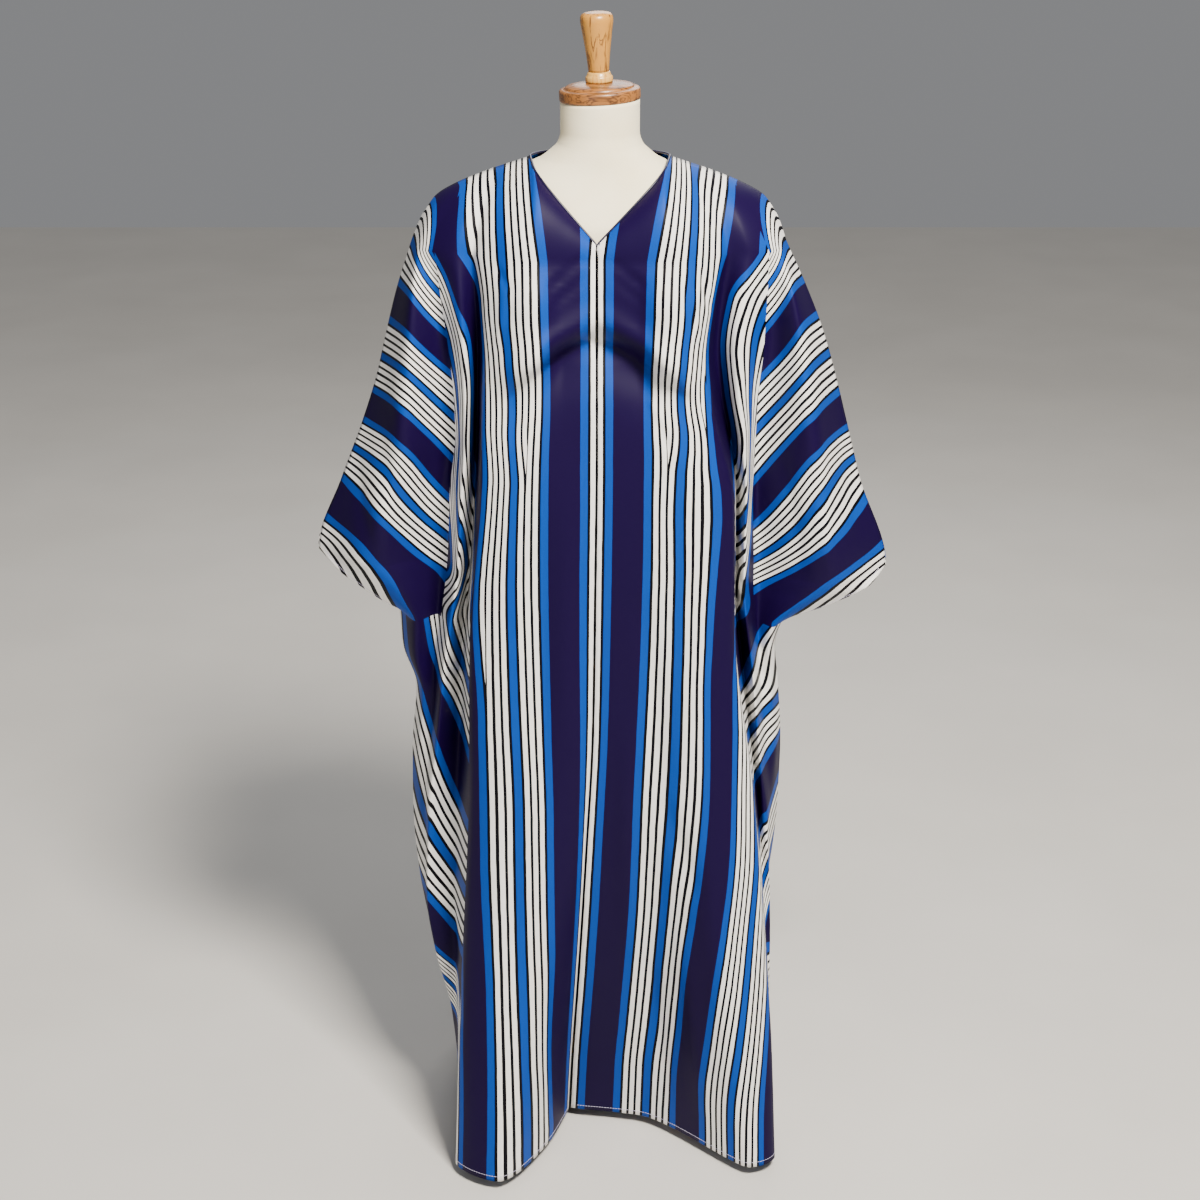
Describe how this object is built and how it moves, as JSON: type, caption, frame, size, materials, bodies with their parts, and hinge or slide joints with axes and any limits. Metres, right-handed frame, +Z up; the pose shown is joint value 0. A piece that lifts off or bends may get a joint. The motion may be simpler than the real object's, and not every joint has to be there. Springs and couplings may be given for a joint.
{
  "type": "kaftan dress on a dress form",
  "caption": "Ankle-length V-neck kaftan with cut-on batwing sleeves, striped lengthwise, hanging open at cuffs and hem on a limbless dress form with a wooden tripod.",
  "frame": {"origin": "on the floor, below the middle of the whole object's box", "axes": "+Z up, the front of the dress faces -Y, +X is to the right of someone who looks at the front"},
  "size_m": [0.7668, 0.504, 1.5688],
  "materials": {
    "striped_crepe": "satin-backed crepe woven or printed in lengthwise stripes of purple, blue and white with dark lines",
    "neck_binding_satin": "dark bias-cut satin binding",
    "form_jersey": "cream cotton jersey stretched over the form",
    "walnut": "turned and satin varnished",
    "olive_wood": "turned and waxed",
    "beech": "satin varnished"
  },
  "bodies": {
    "root": {"front_left": "striped_crepe", "front_right": "striped_crepe", "back": "striped_crepe", "neck_binding": "neck_binding_satin", "form_torso": "form_jersey", "neck_cap": "walnut", "finial_ferrule": "olive_wood", "finial": "olive_wood", "pole": "beech", "hub": "beech", "leg_front_left": "beech", "leg_front_right": "beech", "leg_back": "beech"}
  },
  "joints": []
}
